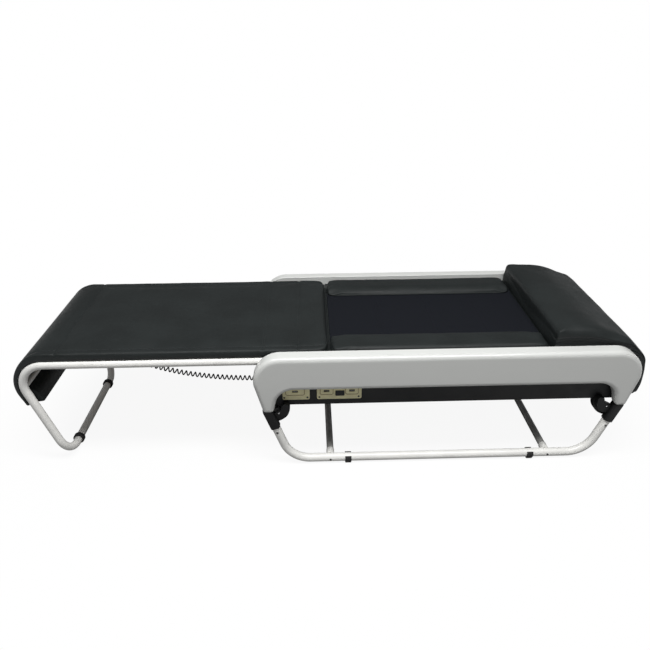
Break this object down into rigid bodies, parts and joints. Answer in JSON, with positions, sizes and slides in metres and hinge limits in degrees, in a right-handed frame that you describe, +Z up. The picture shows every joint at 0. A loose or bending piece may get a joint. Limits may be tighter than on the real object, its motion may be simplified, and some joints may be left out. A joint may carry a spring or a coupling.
{
  "type": "massage bed",
  "caption": "Low roller-massage bed: a padded main section with a roller channel on floor skids, and a padded leg section on a bent tube frame that slides out of its end.",
  "frame": {"origin": "on the floor, under the middle of the whole bed's length and width", "axes": "+X along the bed from the leg end to the head end, +Y from the control side to the far side, +Z up"},
  "size_m": [2.149, 0.7, 0.5076],
  "materials": {
    "white_plastic": "glossy white moulding",
    "black_plastic": "fine-grained black moulding",
    "upholstery": "soft black imitation leather with a fine grain",
    "channel_cloth": "matt black cloth",
    "white_paint": "glossy off-white powder coat",
    "grey_paint": "satin grey paint",
    "galvanised": "dull galvanised steel",
    "plywood": "bare plywood",
    "rubber": "matt black rubber",
    "cream_plastic": "cream moulding with a dull sheen",
    "jade": "polished jade",
    "nylon": "natural nylon",
    "steel": "plain bright steel",
    "circuit_board": "green solder mask"
  },
  "bodies": {
    "root": {"fascia_near": "white_plastic", "fascia_far": "white_plastic", "skid_tube_near": "white_paint", "skid_tube_far": "white_paint", "knuckle_near_left": "black_plastic", "knuckle_near_right": "black_plastic", "knuckle_far_left": "black_plastic", "knuckle_far_right": "black_plastic", "rubber_foot_near_left": "rubber", "rubber_foot_near_right": "rubber", "rubber_foot_far_left": "rubber", "rubber_foot_far_right": "rubber", "cross_tube_left": "grey_paint", "cross_tube_right": "grey_paint", "socket_plate_left": "cream_plastic", "socket_plate_right": "cream_plastic", "lower_tub": "black_plastic", "service_cover": "black_plastic", "side_beam_near": "galvanised", "side_beam_far": "galvanised", "carriage_track_near": "galvanised", "carriage_track_far": "galvanised", "cross_member_left": "galvanised", "cross_member_right": "galvanised", "deck_near": "galvanised", "deck_far": "galvanised", "rail_guide_near": "nylon", "rail_guide_far": "nylon", "control_box": "black_plastic", "control_board": "circuit_board", "drive_motor": "steel", "drive_belt": "rubber", "bolster_near": "upholstery", "bolster_far": "upholstery", "channel_cover": "channel_cloth", "head_board": "galvanised", "head_cushion": "upholstery", "lead_gland": "black_plastic"},
    "leg_section": {"leg_frame": "white_paint", "leg_board": "plywood", "leg_mat": "upholstery", "lead_plug": "black_plastic", "coiled_lead": "rubber"},
    "leg_roller_near": {"leg_roller_near": "rubber"},
    "leg_roller_far": {"leg_roller_far": "rubber"},
    "carriage": {"carriage_frame": "steel"},
    "wheel_near_left": {"carriage_wheel_near_left": "nylon"},
    "wheel_near_right": {"carriage_wheel_near_right": "nylon"},
    "wheel_far_left": {"carriage_wheel_far_left": "nylon"},
    "wheel_far_right": {"carriage_wheel_far_right": "nylon"},
    "jade_near_left": {"jade_roller_near_left": "jade"},
    "jade_near_right": {"jade_roller_near_right": "jade"},
    "jade_far_left": {"jade_roller_far_left": "jade"},
    "jade_far_right": {"jade_roller_far_right": "jade"},
    "drive_pulley": {"drive_pulley": "steel"},
    "idler_pulley": {"idler_pulley": "nylon"},
    "rocker_switch": {"rocker_switch": "black_plastic"}
  },
  "joints": [
    {"name": "leg_slide", "type": "slide", "parent": "root", "child": "leg_section", "axis": [-1, 0, 0], "range_m": [0, 0.15]},
    {"name": "leg_roller_near_spin", "type": "hinge", "parent": "leg_section", "child": "leg_roller_near", "pos_m": [-0.95113, -0.18, 0.02], "axis": [0, 1, 0], "continuous": true},
    {"name": "leg_roller_far_spin", "type": "hinge", "parent": "leg_section", "child": "leg_roller_far", "pos_m": [-0.95113, 0.18, 0.02], "axis": [0, 1, 0], "continuous": true},
    {"name": "carriage_travel", "type": "slide", "parent": "root", "child": "carriage", "axis": [1, 0, 0], "range_m": [-0.24, 0.24]},
    {"name": "wheel_near_left_spin", "type": "hinge", "parent": "carriage", "child": "wheel_near_left", "pos_m": [0.29487, -0.1995, 0.3955], "axis": [0, 1, 0], "range_deg": [-780, 780]},
    {"name": "wheel_near_right_spin", "type": "hinge", "parent": "carriage", "child": "wheel_near_right", "pos_m": [0.46487, -0.1995, 0.3955], "axis": [0, 1, 0], "range_deg": [-780, 780]},
    {"name": "wheel_far_left_spin", "type": "hinge", "parent": "carriage", "child": "wheel_far_left", "pos_m": [0.29487, 0.1995, 0.3955], "axis": [0, 1, 0], "range_deg": [-780, 780]},
    {"name": "wheel_far_right_spin", "type": "hinge", "parent": "carriage", "child": "wheel_far_right", "pos_m": [0.46487, 0.1995, 0.3955], "axis": [0, 1, 0], "range_deg": [-780, 780]},
    {"name": "jade_near_left_spin", "type": "hinge", "parent": "carriage", "child": "jade_near_left", "pos_m": [0.33487, -0.048, 0.4003], "axis": [0, 1, 0], "continuous": true},
    {"name": "jade_near_right_spin", "type": "hinge", "parent": "carriage", "child": "jade_near_right", "pos_m": [0.42487, -0.048, 0.4003], "axis": [0, 1, 0], "continuous": true},
    {"name": "jade_far_left_spin", "type": "hinge", "parent": "carriage", "child": "jade_far_left", "pos_m": [0.33487, 0.048, 0.4003], "axis": [0, 1, 0], "continuous": true},
    {"name": "jade_far_right_spin", "type": "hinge", "parent": "carriage", "child": "jade_far_right", "pos_m": [0.42487, 0.048, 0.4003], "axis": [0, 1, 0], "continuous": true},
    {"name": "drive_pulley_spin", "type": "hinge", "parent": "root", "child": "drive_pulley", "pos_m": [0.04187, 0.127, 0.35], "axis": [0, 1, 0], "range_deg": [-1060, 1060]},
    {"name": "idler_pulley_spin", "type": "hinge", "parent": "root", "child": "idler_pulley", "pos_m": [0.70987, 0.127, 0.35], "axis": [0, 1, 0], "range_deg": [-1060, 1060]},
    {"name": "rocker_switch_tilt", "type": "hinge", "parent": "root", "child": "rocker_switch", "pos_m": [0.02287, -0.3003, 0.283], "axis": [1, 0, 0], "range_deg": [-14, 0]}
  ],
  "couplings": [
    {"joint": "wheel_near_left_spin", "follows": "carriage_travel", "rad_per_m": 55.556},
    {"joint": "wheel_near_right_spin", "follows": "carriage_travel", "rad_per_m": 55.556},
    {"joint": "wheel_far_left_spin", "follows": "carriage_travel", "rad_per_m": 55.556},
    {"joint": "wheel_far_right_spin", "follows": "carriage_travel", "rad_per_m": 55.556},
    {"joint": "drive_pulley_spin", "follows": "carriage_travel", "rad_per_m": 76.336},
    {"joint": "idler_pulley_spin", "follows": "carriage_travel", "rad_per_m": 76.336}
  ]
}
